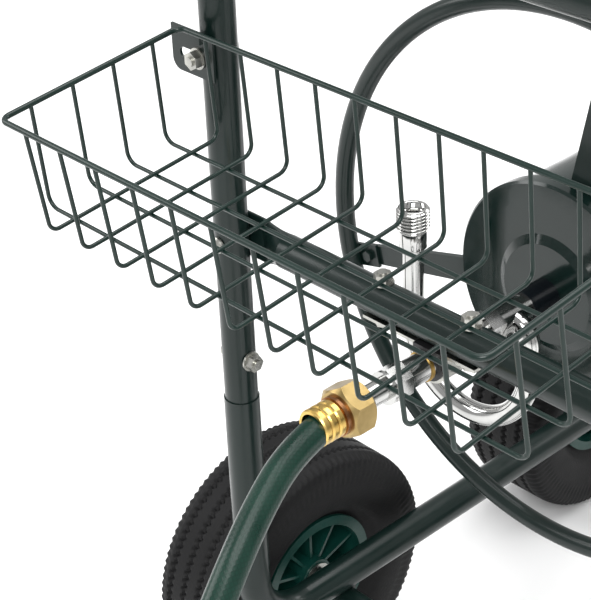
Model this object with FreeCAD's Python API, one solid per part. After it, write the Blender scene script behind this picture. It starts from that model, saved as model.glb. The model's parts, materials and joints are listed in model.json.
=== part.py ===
import FreeCAD, Part
import math
import os

# Garden hose reel cart: four pneumatic wheels, two bent side tubes, a push handle,
# a wire basket in front and a hose reel whose axis runs along the cart (Y).
# Millimetres, +X to the cart's right, +Y to its rear, +Z up, ground at Z = 0.

V = FreeCAD.Vector
X_AXIS, Y_AXIS, Z_AXIS = V(1, 0, 0), V(0, 1, 0), V(0, 0, 1)

# ---------------------------------------------------------------- driving dimensions
POST_X = 208.0            # half the spacing of the side tubes
FRONT_POST_Y = -285.0
REAR_POST_Y = 367.0
RAIL_Z = 158.0
SEAM_Z = 415.0            # where the handle tube slips over the side tube
HANDLE_TOP_Z = 1000.0
REAR_POST_TOP_Z = 612.0
SIDE_R, SIDE_WALL = 15.0, 1.5
UPPER_R, UPPER_WALL = 14.0, 1.3
SPIGOT_LENGTH, SPIGOT_GAP = 60.0, 0.2
SIDE_BEND_R = 60.0
HANDLE_BEND_R = 80.0
GRIP_LENGTH, GRIP_WALL = 230.0, 4.0

BAR_R, BAR_WALL = 14.0, 1.5
BAR_Z = 564.0
UPPER_BAR_Z = 846.0
FLAT_T, FLAT_WIDTH = 4.0, 40.0
FLAT_LENGTH, TAPER_LENGTH = 44.0, 26.0

BOLT_R, HOLE_GAP = 4.0, 0.3
HEAD_R, HEAD_H = 6.8, 5.0
WASHER_R, WASHER_T = 8.5, 1.5
NUT_R, NUT_H = 7.4, 6.5

WHEEL_R, TYRE_WIDTH = 133.0, 98.0
WHEEL_X = 279.0
FRONT_AXLE_Y, REAR_AXLE_Y = -175.0, 258.0
AXLE_R, AXLE_TUBE_R = 8.0, 10.0
AXLE_GAP = 0.05
HUB_HALF, HUB_R = 34.0, 18.0
BUSH_R, BUSH_LENGTH = 11.0, 16.0
RIM_SEAT_R, RIM_LIP_R, RIM_HALF = 60.0, 66.0, 37.0
RIM_LIP_T, RIM_WALL = 4.0, 4.0
RIB_T, RIB_COUNT = 3.0, 10
CASING = 7.0
SIDE_PLAY = 0.5

AXIS_Z = 538.0            # reel axis height
HOOP_R, HOOP_TUBE_R, HOOP_WALL = 230.0, 8.0, 1.2
DRUM_R, DRUM_WALL = 87.0, 1.5
DISC_R, DISC_T, LIP_DEPTH = 91.0, 2.0, 14.0
PAD_R, PAD_RISE, PAD_SLOPE = 42.0, 4.0, 7.0
DRUM_FRONT_Y, DRUM_REAR_Y = -145.0, 227.0
SLEEVE_R, JOURNAL_R = 14.0, 11.0
SPIGOT_R, WATER_R = 8.0, 5.5
RUN_GAP = 0.05            # radial clearance of the turning fits
ELBOW_R = 12.5
ELBOW_FRONT_Y, ELBOW_REAR_Y = -223.0, -177.0
PIPE_Y = -193.0           # plane of the outlet pipe
PIPE_R, PIPE_BORE_R = 8.5, 7.0
PIPE_LEG_X, PIPE_BEND_R, PIPE_ELBOW_R = 22.0, 60.0, 17.0
PIPE_LOW = 42.0           # how far below the axis the straight legs end
PIPE_TOP = 31.0           # how far above the axis the pipe ends
THREAD_R, THREAD_LENGTH = 13.4, 19.0
COLLAR_H, COLLAR_R = 8.0, 11.0
OUTLET_BORE_R = 9.0

SPOKE_ANGLES = (80.0, 194.0, 317.0)
SPOKE_T, SPOKE_OUT_W, SPOKE_IN_W = 5.0, 16.0, 23.0
SPOKE_END_R, SPOKE_BOLT_R = 221.0, 213.0
TAB_T, TAB_W, TAB_IN_R = 3.0, 20.0, 203.0
FOOT_T, FOOT_LENGTH, FOOT_W = 3.0, 24.0, 20.0
SMALL_BOLT_R = 3.0

BLOCK_R, BLOCK_HALF_Y = 14.5, 12.0
STRAP_T, STRAP_W = 2.5, 20.0
STRAP_BOLTS_X = (-56.0, 31.0)
EAR_OVERHANG = 12.0

INLET_R = 11.0
INLET_REAR_Y, INLET_FRONT_Y = -245.0, -308.0
INLET_HEX_R, INLET_HEX_L = 14.0, 16.0
INLET_STUB_R, INLET_STUB_L = 9.0, 39.0
INLET_FLANGE_R, INLET_FLANGE_T = 13.0, 3.0
SEAL_RING_R, SEAL_RING_W, SEAL_RING_Y = 12.0, 2.5, -288.0

CRANK_LENGTH, CRANK_W, CRANK_T = 150.0, 30.0, 6.0
CRANK_Y = 392.0
CRANK_DEG = -35.0
KNOB_R, KNOB_PIN_R, KNOB_GAP = 15.0, 5.0, 0.5

TILT_DEG = 6.4            # the basket's front hangs this much lower
BASKET_L, BASKET_W, BASKET_D = 441.0, 162.7, 82.5
RIM_FRONT_Y, RIM_FRONT_Z = -473.6, 729.0
RIM_WIRE_R, WIRE_R, RIM_CORNER_R = 2.2, 1.6, 8.0
CROSS_COUNT, CROSS_PITCH = 11, 38.3
LONG_COUNT, LONG_PITCH = 4, 36.8
FRONT_BEND_R, BACK_BEND_R, END_BEND_R = 8.0, 9.0, 9.0
FRONT_INSET, BACK_INSET, END_FLARE = 2.0, 2.6, 5.0

BRACKET_T, BRACKET_OUT, BRACKET_IN, FLANGE_OUT = 2.0, 36.0, 11.0, 4.0
BRACKET_DROP, BRACKET_BELOW_RIM = 36.0, 5.5
BRACKET_BOLT_OUT, SLOT_OUT = 6.0, 14.0    # bolt and slot, outward from the post's middle
SLOT_L, SLOT_W = 26.0, 9.0

HOSE_R = 11.25
HOSE_POINTS = (
    (0, -379, 538), (3.5, -418, 534.5), (22.6, -470, 520), (49.1, -525.7, 498.5),
    (69.1, -582.4, 453.3), (86.8, -621.6, 387.9), (102.3, -642.6, 310.7), (115, -655, 232),
    (128, -672, 160), (152, -704, 98), (189, -751, 58), (232, -806, 42), (274, -862, 34),
)
COIL_CENTRE = (374.0, -787.0)
COIL_R, COIL_SLACK = 125.0, 0.5
COIL_TAIL_DEG, COIL_TAIL_L = 165.0, 90.0
NUT_Y, HOSE_NUT_R, HOSE_NUT_L = -361.0, 21.0, 22.0
COLLAR_RING_R, COLLAR_RING_L = 15.0, 4.0
FERRULE_R, FERRULE_L, FERRULE_BASE = 14.2, 20.0, 3.0
END_PIECE_R, END_PIECE_L = 16.0, 42.0
END_BORE_R, END_BORE_L = 13.2, 12.0


# ---------------------------------------------------------------- shape helpers
def turned(profile, origin, axis):
    """Solid of revolution of (radius, height) points about an axis through origin."""
    points = [V(r, 0, h) for r, h in profile]
    wire = Part.makePolygon(points + [points[0]])
    solid = Part.Face(wire).revolve(V(0, 0, 0), Z_AXIS, 360)
    return placed(solid, origin, axis)


def placed(shape, origin, axis):
    """Turn a shape's +Z to the given axis and put its origin at origin."""
    copy = shape.copy()
    copy.Placement = FreeCAD.Placement(origin, FreeCAD.Rotation(Z_AXIS, axis))
    return copy


def cylinder(radius, start, axis, length):
    return Part.makeCylinder(radius, length, start, axis)


def ring(outer_r, inner_r, start, axis, length):
    return cylinder(outer_r, start, axis, length).cut(cylinder(inner_r, start, axis, length))


def box(low, high):
    size = high - low
    return Part.makeBox(size.x, size.y, size.z, low)


def hexagon(radius, start, axis, length):
    points = [V(radius * math.cos(a), radius * math.sin(a), 0)
              for a in [math.radians(60 * k + 30) for k in range(6)]]
    face = Part.Face(Part.makePolygon(points + [points[0]]))
    return placed(face.extrude(Z_AXIS * length), start, axis)


def rounded_path(points, radii):
    """Straight edges through the points with a tangent arc at each inner point."""
    edges, start = [], points[0]
    for index in range(1, len(points) - 1):
        corner = points[index]
        back = (points[index - 1] - corner).normalize()
        ahead = (points[index + 1] - corner).normalize()
        half = back.getAngle(ahead) / 2
        setback = radii[index - 1] / math.tan(half)
        first, last = corner + back * setback, corner + ahead * setback
        middle_dir = (back + ahead).normalize()
        centre_distance = radii[index - 1] / math.sin(half)
        middle = corner + middle_dir * (centre_distance - radii[index - 1])
        if (first - start).Length > 1e-6:
            edges.append(Part.LineSegment(start, first).toShape())
        edges.append(Part.Arc(first, middle, last).toShape())
        start = last
    if (points[-1] - start).Length > 1e-6:
        edges.append(Part.LineSegment(start, points[-1]).toShape())
    return Part.Wire(edges)


def swept(path, radius):
    """A round rod along a path."""
    edge = path.OrderedEdges[0]
    start = edge.valueAt(edge.FirstParameter)
    along = edge.tangentAt(edge.FirstParameter)
    if (start - path.OrderedVertexes[0].Point).Length > 1e-6:
        start, along = edge.valueAt(edge.LastParameter), edge.tangentAt(edge.LastParameter) * -1
    section = Part.Wire(Part.Circle(start, along, radius).toShape())
    return Part.Solid(path.makePipeShell([section], True, False))


def pipe(path, outer_r, inner_r):
    return swept(path, outer_r).cut(swept(path, inner_r))


def tube_along(points, bend_r, outer_r, inner_r):
    return pipe(rounded_path(points, [bend_r] * (len(points) - 2)), outer_r, inner_r)


def mirrored_x(shape):
    return shape.mirror(V(0, 0, 0), X_AXIS)


def mirrored_reel(shape):
    """Mirror a front reel piece to the rear end of the drum."""
    return shape.mirror(V(0, (DRUM_FRONT_Y + DRUM_REAR_Y) / 2, 0), Y_AXIS)


def group(shapes):
    solids = []
    for shape in shapes:
        solids.extend(shape.Solids)
    return Part.makeCompound(solids)


def fastener(start, axis, grip, radius=BOLT_R, dome=False):
    """Bolt, washer and nut: the head's underside is at start, the nut sits past the grip."""
    scale = radius / BOLT_R
    head_r, head_h = HEAD_R * scale, HEAD_H * scale
    washer_r, washer_t = WASHER_R * scale, WASHER_T * scale
    nut_r, nut_h = NUT_R * scale, NUT_H * scale
    back = axis * -1
    head = hexagon(head_r, start, back, head_h)
    if dome:
        ball_r = head_r * 1.25
        centre = start + axis * (ball_r - head_h)
        head = Part.makeSphere(ball_r, centre).common(cylinder(head_r, start, back, head_h))
    length = grip + washer_t + nut_h + 2.0 * scale
    bolt = head.fuse(cylinder(radius, start, axis, length)).removeSplitter()
    washer = ring(washer_r, radius, start + axis * grip, axis, washer_t)
    nut_start = start + axis * (grip + washer_t)
    nut = hexagon(nut_r, nut_start, axis, nut_h).cut(cylinder(radius, nut_start, axis, nut_h))
    return [bolt, washer, nut]


def drill(shape, start, axis, length, radius=BOLT_R):
    return shape.cut(cylinder(radius + HOLE_GAP, start, axis, length))


# ---------------------------------------------------------------- frame
HANDLE_BOLT_Z = SEAM_Z + 40.0
BRACKET_BOLT_Z = 721.0
POST_FACE = FRONT_POST_Y + UPPER_R            # rear face of the front posts
FRONT_BAR_Y = POST_FACE + FLAT_T / 2
REAR_BAR_Y = REAR_POST_Y - SIDE_R - FLAT_T / 2
SIDES = (-1, 1)


def side_tube(side):
    x = side * POST_X
    points = [V(x, FRONT_POST_Y, SEAM_Z), V(x, FRONT_POST_Y, RAIL_Z),
              V(x, REAR_POST_Y, RAIL_Z), V(x, REAR_POST_Y, REAR_POST_TOP_Z)]
    tube = tube_along(points, SIDE_BEND_R, SIDE_R, SIDE_R - SIDE_WALL)
    spigot_r = UPPER_R - UPPER_WALL - SPIGOT_GAP
    seat = V(x, FRONT_POST_Y, SEAM_Z - SIDE_WALL)
    tube = tube.fuse(ring(SIDE_R - SIDE_WALL / 2, spigot_r - SIDE_WALL, seat, Z_AXIS, SIDE_WALL))
    tube = tube.fuse(ring(spigot_r, spigot_r - SIDE_WALL, seat, Z_AXIS, SPIGOT_LENGTH + SIDE_WALL))
    tube = drill(tube, V(x - 2 * SIDE_R, FRONT_POST_Y, HANDLE_BOLT_Z), X_AXIS, 4 * SIDE_R)
    return drill(tube, V(x, REAR_POST_Y - 2 * SIDE_R, BAR_Z), Y_AXIS, 4 * SIDE_R)


def handle_tube():
    points = [V(-POST_X, FRONT_POST_Y, SEAM_Z), V(-POST_X, FRONT_POST_Y, HANDLE_TOP_Z - UPPER_R),
              V(POST_X, FRONT_POST_Y, HANDLE_TOP_Z - UPPER_R), V(POST_X, FRONT_POST_Y, SEAM_Z)]
    tube = tube_along(points, HANDLE_BEND_R, UPPER_R, UPPER_R - UPPER_WALL)
    for side in SIDES:
        x = side * POST_X
        tube = drill(tube, V(x - 2 * SIDE_R, FRONT_POST_Y, HANDLE_BOLT_Z), X_AXIS, 4 * SIDE_R)
        bracket_x = x + side * BRACKET_BOLT_OUT
        for hole_x, z in ((x, BAR_Z), (x, UPPER_BAR_Z), (bracket_x, BRACKET_BOLT_Z)):
            tube = drill(tube, V(hole_x, FRONT_POST_Y - 2 * UPPER_R, z), Y_AXIS, 4 * UPPER_R)
    return tube


def handle_grip():
    start = V(-GRIP_LENGTH / 2, FRONT_POST_Y, HANDLE_TOP_Z - UPPER_R)
    return ring(UPPER_R + GRIP_WALL, UPPER_R, start, X_AXIS, GRIP_LENGTH)


def split_circle(radius, x):
    """Circle as four arcs, so that it matches the four edges of a flattened section."""
    cut = math.radians(12)
    angles = [cut, math.pi - cut, math.pi + cut, 2 * math.pi - cut]
    point = lambda a: V(x, radius * math.sin(a), radius * math.cos(a))
    edges = []
    for index, first in enumerate(angles):
        last = angles[(index + 1) % 4] + (2 * math.pi if index == 3 else 0)
        edges.append(Part.Arc(point(first), point((first + last) / 2), point(last)).toShape())
    return Part.Wire(edges)


def split_slot(width, thickness, x):
    """Flattened tube section: two straight faces with round ends."""
    half, end = thickness / 2, width / 2
    flat = end - half
    return Part.Wire([
        Part.LineSegment(V(x, half, flat), V(x, half, -flat)).toShape(),
        Part.Arc(V(x, half, -flat), V(x, 0, -end), V(x, -half, -flat)).toShape(),
        Part.LineSegment(V(x, -half, -flat), V(x, -half, flat)).toShape(),
        Part.Arc(V(x, -half, flat), V(x, 0, end), V(x, half, flat)).toShape()])


def crossbar(y, z, bolt_holes=()):
    """Round tube with flattened ends, bolted flat against both posts."""
    flat_end = POST_X + FLAT_LENGTH / 2
    taper_end = flat_end - FLAT_LENGTH
    round_end = taper_end - TAPER_LENGTH
    bar = cylinder(BAR_R, V(-round_end, 0, 0), X_AXIS, 2 * round_end)
    for side in SIDES:
        taper = Part.makeLoft([split_circle(BAR_R, side * round_end),
                               split_slot(FLAT_WIDTH, FLAT_T, side * taper_end)], True, True)
        plate = Part.Face(split_slot(FLAT_WIDTH, FLAT_T, side * taper_end))
        plate = plate.extrude(V(side * FLAT_LENGTH, 0, 0))
        corner = cylinder(FLAT_WIDTH / 2, V(side * POST_X, -FLAT_T, 0), Y_AXIS, 2 * FLAT_T)
        keep = box(V(-round_end, -BAR_R, -FLAT_WIDTH), V(POST_X, BAR_R, FLAT_WIDTH))
        if side < 0:
            keep = mirrored_x(keep)
        plate = plate.common(corner.fuse(keep))
        bar = bar.fuse(taper).fuse(plate)
    bar = bar.cut(cylinder(BAR_R - BAR_WALL, V(-round_end, 0, 0), X_AXIS, 2 * round_end))
    bar.translate(V(0, y, z))
    for side in SIDES:
        bar = drill(bar, V(side * POST_X, y - 3 * FLAT_T, z), Y_AXIS, 6 * FLAT_T)
    for x in bolt_holes:
        bar = drill(bar, V(x, y, z - 2 * BAR_R), Z_AXIS, 4 * BAR_R)
    return bar


def handle_bolts():
    pieces = []
    for side in SIDES:
        start = V(side * POST_X - UPPER_R, FRONT_POST_Y, HANDLE_BOLT_Z)
        pieces += fastener(start, X_AXIS, 2 * UPPER_R, dome=True)
    return group(pieces)


def crossbar_bolts():
    pieces = []
    for side in SIDES:
        for z in (BAR_Z, UPPER_BAR_Z):
            start = V(side * POST_X, FRONT_POST_Y - UPPER_R, z)
            pieces += fastener(start, Y_AXIS, 2 * UPPER_R + FLAT_T, dome=True)
        start = V(side * POST_X, REAR_POST_Y + SIDE_R, BAR_Z)
        pieces += fastener(start, Y_AXIS * -1, 2 * SIDE_R + FLAT_T, dome=True)
    return group(pieces)


def post_caps():
    """Plugs in the open tops of the rear posts."""
    inner = SIDE_R - SIDE_WALL
    profile = [(0, -18), (inner, -18), (inner, 0), (SIDE_R, 0), (SIDE_R, 3), (SIDE_R - 4, 5), (0, 5)]
    return group([turned(profile, V(side * POST_X, REAR_POST_Y, REAR_POST_TOP_Z), Z_AXIS)
                  for side in SIDES])


# ---------------------------------------------------------------- axles and wheels
TUBE_END_X = WHEEL_X - HUB_HALF - SIDE_PLAY - WASHER_T
HUB_OUT_X = WHEEL_X + HUB_HALF + SIDE_PLAY


def axle_tube(y):
    start = V(-TUBE_END_X, y, WHEEL_R)
    tube = ring(AXLE_TUBE_R, AXLE_R, start, X_AXIS, 2 * TUBE_END_X)
    plates = []
    for side in SIDES:
        low = V(side * POST_X - RIB_T / 2, y - SIDE_R, WHEEL_R)
        plate = box(low, low + V(RIB_T, 2 * SIDE_R, RAIL_Z - WHEEL_R))
        rail = cylinder(SIDE_R, V(side * POST_X, y - 2 * SIDE_R, RAIL_Z), Y_AXIS, 4 * SIDE_R)
        plates.append(plate.cut(rail).cut(cylinder(AXLE_R, start, X_AXIS, 2 * TUBE_END_X)))
    for plate in plates:
        tube = tube.fuse(plate)
    return tube


def axle_rod(y):
    half = HUB_OUT_X + WASHER_T + NUT_H + 2.0
    return cylinder(AXLE_R, V(-half, y, WHEEL_R), X_AXIS, 2 * half)


def axle_hardware():
    """Washers on both sides of each hub, and a cap nut on each rod end."""
    pieces = []
    cap = NUT_H + 4.5
    for y in (FRONT_AXLE_Y, REAR_AXLE_Y):
        for side in SIDES:
            out = X_AXIS * side
            inner = V(side * TUBE_END_X, y, WHEEL_R)
            outer = V(side * HUB_OUT_X, y, WHEEL_R)
            pieces.append(ring(HUB_R - 3, AXLE_R, inner, out, WASHER_T))
            pieces.append(ring(HUB_R - 3, AXLE_R, outer, out, WASHER_T))
            nut_start = outer + out * WASHER_T
            nut = hexagon(HUB_R - 4, nut_start, out, cap)
            pieces.append(nut.cut(cylinder(AXLE_R, nut_start, out, NUT_H + 2.0)))
    return group(pieces)


def wheel_rim(side, y):
    """Plastic wheel: hub, web near the outer face, ribs in the dish, and a barrel."""
    barrel_in = RIM_SEAT_R - RIM_WALL
    profile = [(BUSH_R, -HUB_HALF), (HUB_R, -HUB_HALF), (HUB_R, 12), (barrel_in, 8),
               (barrel_in, -RIM_HALF), (RIM_LIP_R, -RIM_HALF), (RIM_LIP_R, -RIM_HALF + RIM_LIP_T),
               (RIM_SEAT_R, -RIM_HALF + RIM_LIP_T), (RIM_SEAT_R, RIM_HALF - RIM_LIP_T),
               (RIM_LIP_R, RIM_HALF - RIM_LIP_T), (RIM_LIP_R, RIM_HALF), (barrel_in, RIM_HALF),
               (barrel_in, 13), (HUB_R, 17), (HUB_R, HUB_HALF), (BUSH_R, HUB_HALF)]
    rim = turned(profile, V(0, 0, 0), Z_AXIS)
    for k in range(RIB_COUNT):
        rib = box(V(HUB_R - 1, -RIB_T / 2, -RIM_HALF + 10), V(barrel_in + 1, RIB_T / 2, 11))
        rib.rotate(V(0, 0, 0), Z_AXIS, 360 * k / RIB_COUNT)
        rim = rim.fuse(rib)
    rim = rim.cut(cylinder(BUSH_R, V(0, 0, -HUB_HALF), Z_AXIS, 2 * HUB_HALF))
    core = ring(BUSH_R, BUSH_R - 3, V(0, 0, -HUB_HALF + BUSH_LENGTH), Z_AXIS,
                2 * (HUB_HALF - BUSH_LENGTH))
    return placed(rim.fuse(core), V(side * WHEEL_X, y, WHEEL_R), X_AXIS * side)


def wheel_bushes(side, y):
    """Two sleeves pressed into the hub; they run on the axle rod."""
    centre = V(side * WHEEL_X, y, WHEEL_R)
    out = X_AXIS * side
    starts = (centre - out * HUB_HALF, centre + out * (HUB_HALF - BUSH_LENGTH))
    return group([ring(BUSH_R, AXLE_R + AXLE_GAP, start, out, BUSH_LENGTH) for start in starts])


def tyre_half(inset):
    """Points of one side of the tyre's section, from bead to crown, as (radius, width)."""
    half = TYRE_WIDTH / 2 - inset
    crown = WHEEL_R - inset
    bead = RIM_HALF - RIM_LIP_T - (inset if inset else 0.0)
    return bead, half, crown


def tyre(side, y):
    def section(inset, foot_r):
        bead, half, crown = tyre_half(inset)
        hip_r, shoulder_r, shoulder_w = foot_r + 8, crown - 4, half - 7
        p = lambda r, w: V(r, 0, w)
        return Part.Wire([
            Part.LineSegment(p(foot_r, -bead), p(hip_r, -bead)).toShape(),
            Part.Arc(p(hip_r, -bead), p((hip_r + shoulder_r) / 2, -half),
                     p(shoulder_r, -shoulder_w)).toShape(),
            Part.Arc(p(shoulder_r, -shoulder_w), p(crown, 0), p(shoulder_r, shoulder_w)).toShape(),
            Part.Arc(p(shoulder_r, shoulder_w), p((hip_r + shoulder_r) / 2, half),
                     p(hip_r, bead)).toShape(),
            Part.LineSegment(p(hip_r, bead), p(foot_r, bead)).toShape(),
            Part.LineSegment(p(foot_r, bead), p(foot_r, -bead)).toShape()])
    outer = Part.Face(section(0, RIM_SEAT_R)).revolve(V(0, 0, 0), Z_AXIS, 360)
    inner = Part.Face(section(CASING, RIM_SEAT_R)).revolve(V(0, 0, 0), Z_AXIS, 360)
    return placed(outer.cut(inner), V(side * WHEEL_X, y, WHEEL_R), X_AXIS)


# ---------------------------------------------------------------- reel
AXIS = lambda y: V(0, y, AXIS_Z)


def reel_shaft():
    """Tube through the drum; a thinner journal turns in the rear bearing."""
    journal_y = DRUM_REAR_Y + 30.0
    end_y = CRANK_Y + CRANK_T / 2
    shaft = ring(SLEEVE_R, JOURNAL_R, AXIS(ELBOW_REAR_Y), Y_AXIS,
                 journal_y - ELBOW_REAR_Y)
    return shaft.fuse(cylinder(JOURNAL_R, AXIS(journal_y - 8), Y_AXIS, end_y - journal_y + 8))


def shaft_elbow():
    """Front fitting: hollow spigot for the inlet, body, and side port for the pipe."""
    length = ELBOW_REAR_Y - ELBOW_FRONT_Y
    body = cylinder(ELBOW_R, AXIS(ELBOW_FRONT_Y), Y_AXIS, length)
    flats = hexagon(ELBOW_R + 2.5, AXIS(ELBOW_FRONT_Y), Y_AXIS, 14)
    spigot = cylinder(SPIGOT_R, AXIS(INLET_FRONT_Y + 12), Y_AXIS,
                      ELBOW_FRONT_Y - INLET_FRONT_Y - 12)
    solid = body.fuse(flats).fuse(spigot).removeSplitter()
    solid = solid.cut(cylinder(WATER_R, AXIS(INLET_FRONT_Y + 12), Y_AXIS,
                               PIPE_Y - INLET_FRONT_Y - 12))
    return solid.cut(cylinder(PIPE_R, AXIS(PIPE_Y), X_AXIS, 2 * ELBOW_R))


def outlet_pipe():
    """Pipe in one upright plane: out to the right, round below the axis, up on the left."""
    left_x = PIPE_LEG_X - 2 * PIPE_BEND_R
    low = AXIS_Z - PIPE_LOW
    corner_z = AXIS_Z
    start = V(1.0, PIPE_Y, corner_z)
    elbow_end = V(PIPE_LEG_X, PIPE_Y, corner_z - PIPE_ELBOW_R)
    elbow_start = V(PIPE_LEG_X - PIPE_ELBOW_R, PIPE_Y, corner_z)
    diagonal = PIPE_ELBOW_R * (1 - math.sqrt(0.5))
    elbow_mid = V(PIPE_LEG_X - diagonal, PIPE_Y, corner_z - diagonal)
    bottom = V(PIPE_LEG_X - PIPE_BEND_R, PIPE_Y, low - PIPE_BEND_R)
    path = Part.Wire([
        Part.LineSegment(start, elbow_start).toShape(),
        Part.Arc(elbow_start, elbow_mid, elbow_end).toShape(),
        Part.LineSegment(elbow_end, V(PIPE_LEG_X, PIPE_Y, low)).toShape(),
        Part.Arc(V(PIPE_LEG_X, PIPE_Y, low), bottom, V(left_x, PIPE_Y, low)).toShape(),
        Part.LineSegment(V(left_x, PIPE_Y, low), V(left_x, PIPE_Y, AXIS_Z + PIPE_TOP)).toShape()])
    return pipe(path, PIPE_R, PIPE_BORE_R)


def outlet_nipple():
    """Threaded outlet on the pipe's upper end: collar below, male thread above."""
    base = V(PIPE_LEG_X - 2 * PIPE_BEND_R, PIPE_Y, AXIS_Z + PIPE_TOP - COLLAR_H)
    height = 2 * COLLAR_H + THREAD_LENGTH
    neck = 2 * COLLAR_H
    solid = cylinder(THREAD_R, base + Z_AXIS * neck, Z_AXIS, height - neck)
    solid = solid.fuse(cylinder(COLLAR_R, base, Z_AXIS, neck)).removeSplitter()
    solid = solid.cut(cylinder(PIPE_R, base, Z_AXIS, COLLAR_H))
    return solid.cut(cylinder(OUTLET_BORE_R, base, Z_AXIS, height + 1).cut(
        cylinder(THREAD_R, base, Z_AXIS, COLLAR_H)))


def drum_shell():
    start = DRUM_FRONT_Y + DISC_T
    return ring(DRUM_R, DRUM_R - DRUM_WALL, AXIS(start), Y_AXIS, DRUM_REAR_Y - DISC_T - start)


def drum_disc():
    """Pressed end disc with a raised pad round the shaft and a lip over the shell."""
    pad = PAD_R + PAD_SLOPE
    profile = [(SLEEVE_R, -PAD_RISE), (PAD_R, -PAD_RISE), (pad, 0), (DISC_R - 2, 0), (DISC_R, 2),
               (DISC_R, LIP_DEPTH), (DRUM_R, LIP_DEPTH), (DRUM_R, DISC_T), (pad - 1, DISC_T),
               (PAD_R - 1, DISC_T - PAD_RISE), (SLEEVE_R, DISC_T - PAD_RISE)]
    return turned(profile, AXIS(DRUM_FRONT_Y), Y_AXIS)


SPOKE_Y = DRUM_FRONT_Y + LIP_DEPTH            # front face of the spokes
HOOP_Y = SPOKE_Y - HOOP_TUBE_R


def hoop():
    """Tube ring with three welded tabs inside it."""
    centre = AXIS(HOOP_Y)
    core = Part.makeTorus(HOOP_R, HOOP_TUBE_R, centre, Y_AXIS)
    tube = core.cut(Part.makeTorus(HOOP_R, HOOP_TUBE_R - HOOP_WALL, centre, Y_AXIS))
    for angle in SPOKE_ANGLES:
        tab = box(V(TAB_IN_R, SPOKE_Y - TAB_T, -TAB_W / 2), V(HOOP_R, SPOKE_Y, TAB_W / 2))
        tab = drill(tab, V(SPOKE_BOLT_R, SPOKE_Y - 10, 0), Y_AXIS, 20, SMALL_BOLT_R)
        tab = at_angle(tab, angle).cut(core)
        tube = tube.fuse(tab)
    return tube


def at_angle(shape, angle):
    """Turn a piece drawn along +X about the reel axis and lift it to the axis height."""
    copy = shape.copy()
    copy.rotate(V(0, 0, 0), Y_AXIS, -angle)
    copy.translate(V(0, 0, AXIS_Z))
    return copy


def spokes():
    """Three tapered spokes from the hoop's tabs to feet on the drum shell."""
    pieces = []
    inner = DRUM_R - 2
    for angle in SPOKE_ANGLES:
        outline = [V(inner, SPOKE_Y, -SPOKE_IN_W / 2), V(SPOKE_END_R, SPOKE_Y, -SPOKE_OUT_W / 2),
                   V(SPOKE_END_R, SPOKE_Y, SPOKE_OUT_W / 2), V(inner, SPOKE_Y, SPOKE_IN_W / 2)]
        strip = Part.Face(Part.makePolygon(outline + [outline[0]])).extrude(V(0, SPOKE_T, 0))
        foot = box(V(inner, SPOKE_Y, -FOOT_W / 2),
                   V(DRUM_R + FOOT_T, SPOKE_Y + FOOT_LENGTH, FOOT_W / 2))
        solid = strip.fuse(foot)
        drum = cylinder(DRUM_R, V(0, SPOKE_Y - 5, 0), Y_AXIS, 2 * FOOT_LENGTH)
        solid = solid.cut(drum)
        solid = drill(solid, V(SPOKE_BOLT_R, SPOKE_Y - 10, 0), Y_AXIS, 30, SMALL_BOLT_R)
        solid = drill(solid, V(inner, FOOT_BOLT_Y, 0), X_AXIS, 20, SMALL_BOLT_R)
        pieces.append(at_angle(solid, angle))
    return group(pieces)


FOOT_BOLT_Y = SPOKE_Y + SPOKE_T + 11.0


def spoke_bolts():
    pieces = []
    for angle in SPOKE_ANGLES:
        hoop_bolt = fastener(V(SPOKE_BOLT_R, SPOKE_Y - TAB_T, 0), Y_AXIS, TAB_T + SPOKE_T,
                             SMALL_BOLT_R)
        foot_bolt = fastener(V(DRUM_R + FOOT_T, FOOT_BOLT_Y, 0), X_AXIS * -1,
                             FOOT_T + DRUM_WALL + 0.5, SMALL_BOLT_R)
        pieces += [at_angle(piece, angle) for piece in hoop_bolt + foot_bolt]
    front = group(pieces)
    return group([front, mirrored_reel(front)])


def drilled_shell():
    shell = drum_shell()
    for y in (FOOT_BOLT_Y, DRUM_FRONT_Y + DRUM_REAR_Y - FOOT_BOLT_Y):
        for angle in SPOKE_ANGLES:
            hole = cylinder(SMALL_BOLT_R + HOLE_GAP, V(DRUM_R - 8, y, 0), X_AXIS, 16)
            shell = shell.cut(at_angle(hole, angle))
    return shell


def crank_arm():
    """Flat arm clamped on the shaft's rear end; its outer eye carries the knob's pin."""
    y = CRANK_Y - CRANK_T / 2
    bar = box(V(0, y, -CRANK_W / 2), V(CRANK_LENGTH, y + CRANK_T, CRANK_W / 2))
    bar = bar.fuse(cylinder(CRANK_W / 2, V(0, y, 0), Y_AXIS, CRANK_T))
    bar = bar.fuse(cylinder(CRANK_W / 2, V(CRANK_LENGTH, y, 0), Y_AXIS, CRANK_T))
    collar = cylinder(JOURNAL_R + 5, V(0, y - 8, 0), Y_AXIS, 8)
    bar = bar.fuse(collar).cut(cylinder(JOURNAL_R, V(0, y - 20, 0), Y_AXIS, 60))
    bar = bar.cut(cylinder(KNOB_PIN_R, V(CRANK_LENGTH, y - 5, 0), Y_AXIS, 20))
    return at_angle(bar.removeSplitter(), CRANK_DEG)


def knob_pin(end_y):
    """Pin riveted in the arm; its round head keeps the knob on."""
    y = CRANK_Y - CRANK_T / 2
    pin = cylinder(KNOB_PIN_R, V(CRANK_LENGTH, y - 3, 0), Y_AXIS, end_y - 4 - y + 3)
    pin = pin.fuse(cylinder(KNOB_PIN_R + 3, V(CRANK_LENGTH, y - 3, 0), Y_AXIS, 3))
    pin = pin.fuse(cylinder(KNOB_PIN_R + 3, V(CRANK_LENGTH, end_y - 7, 0), Y_AXIS, 3))
    return at_angle(pin.removeSplitter(), CRANK_DEG)


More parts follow.
